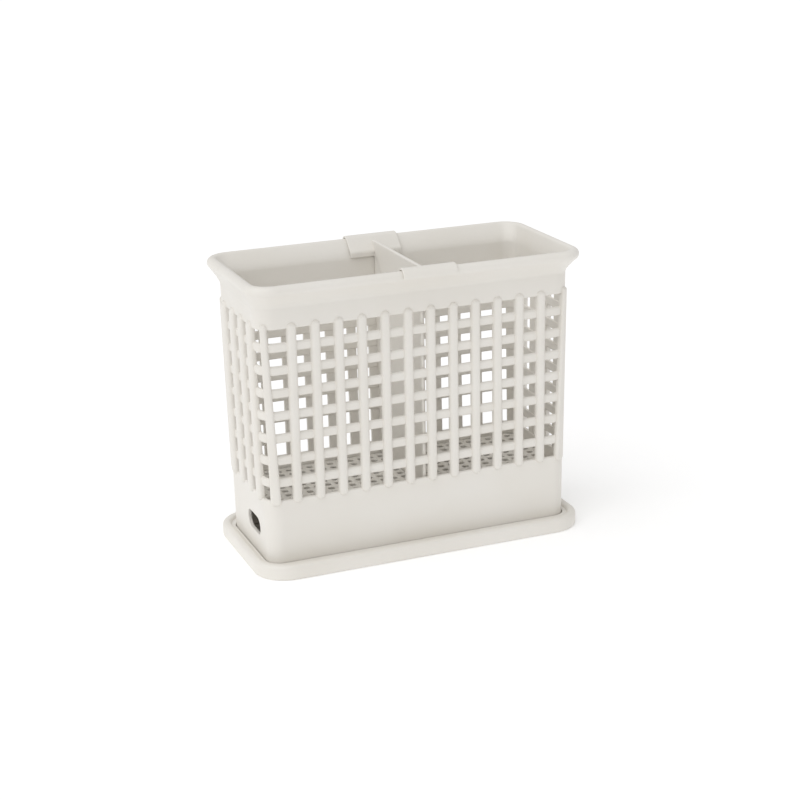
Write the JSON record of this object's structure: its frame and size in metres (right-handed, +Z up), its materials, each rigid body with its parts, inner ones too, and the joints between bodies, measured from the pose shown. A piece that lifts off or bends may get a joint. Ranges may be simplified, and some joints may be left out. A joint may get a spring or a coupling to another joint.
{
  "type": "chopstick drainer basket",
  "caption": "Latticed standing basket for chopsticks and cutlery with a rolled rim, a partition hooked over it, a perforated drain floor and a flip-down bottom cover.",
  "frame": {"origin": "centre of the flat underside of the bottom cover, under the middle of the basket, on the table", "axes": "+X along the long side towards the end without the oval hole, +Y to the back where the hinge is, +Z up"},
  "size_m": [0.1664, 0.0875, 0.1414],
  "materials": {
    "basket_plastic": "satin moulded polypropylene",
    "drain_plastic": "satin moulded polypropylene",
    "divider_plastic": "satin moulded polypropylene",
    "cover_plastic": "satin moulded polypropylene",
    "pin_plastic": "smooth moulded plastic"
  },
  "bodies": {
    "basket": {"basket": "basket_plastic", "drain_plate": "drain_plastic", "hinge_pin_left": "pin_plastic", "hinge_pin_right": "pin_plastic"},
    "divider": {"divider": "divider_plastic"},
    "bottom_cover": {"bottom_cover": "cover_plastic"}
  },
  "joints": [
    {"name": "divider_slide", "type": "slide", "parent": "basket", "child": "divider", "axis": [1, 0, 0], "range_m": [-0.056, 0.051]},
    {"name": "cover_hinge", "type": "hinge", "parent": "basket", "child": "bottom_cover", "pos_m": [0, 0.0437, 0.007], "axis": [1, 0, 0], "range_deg": [0, 110]}
  ]
}
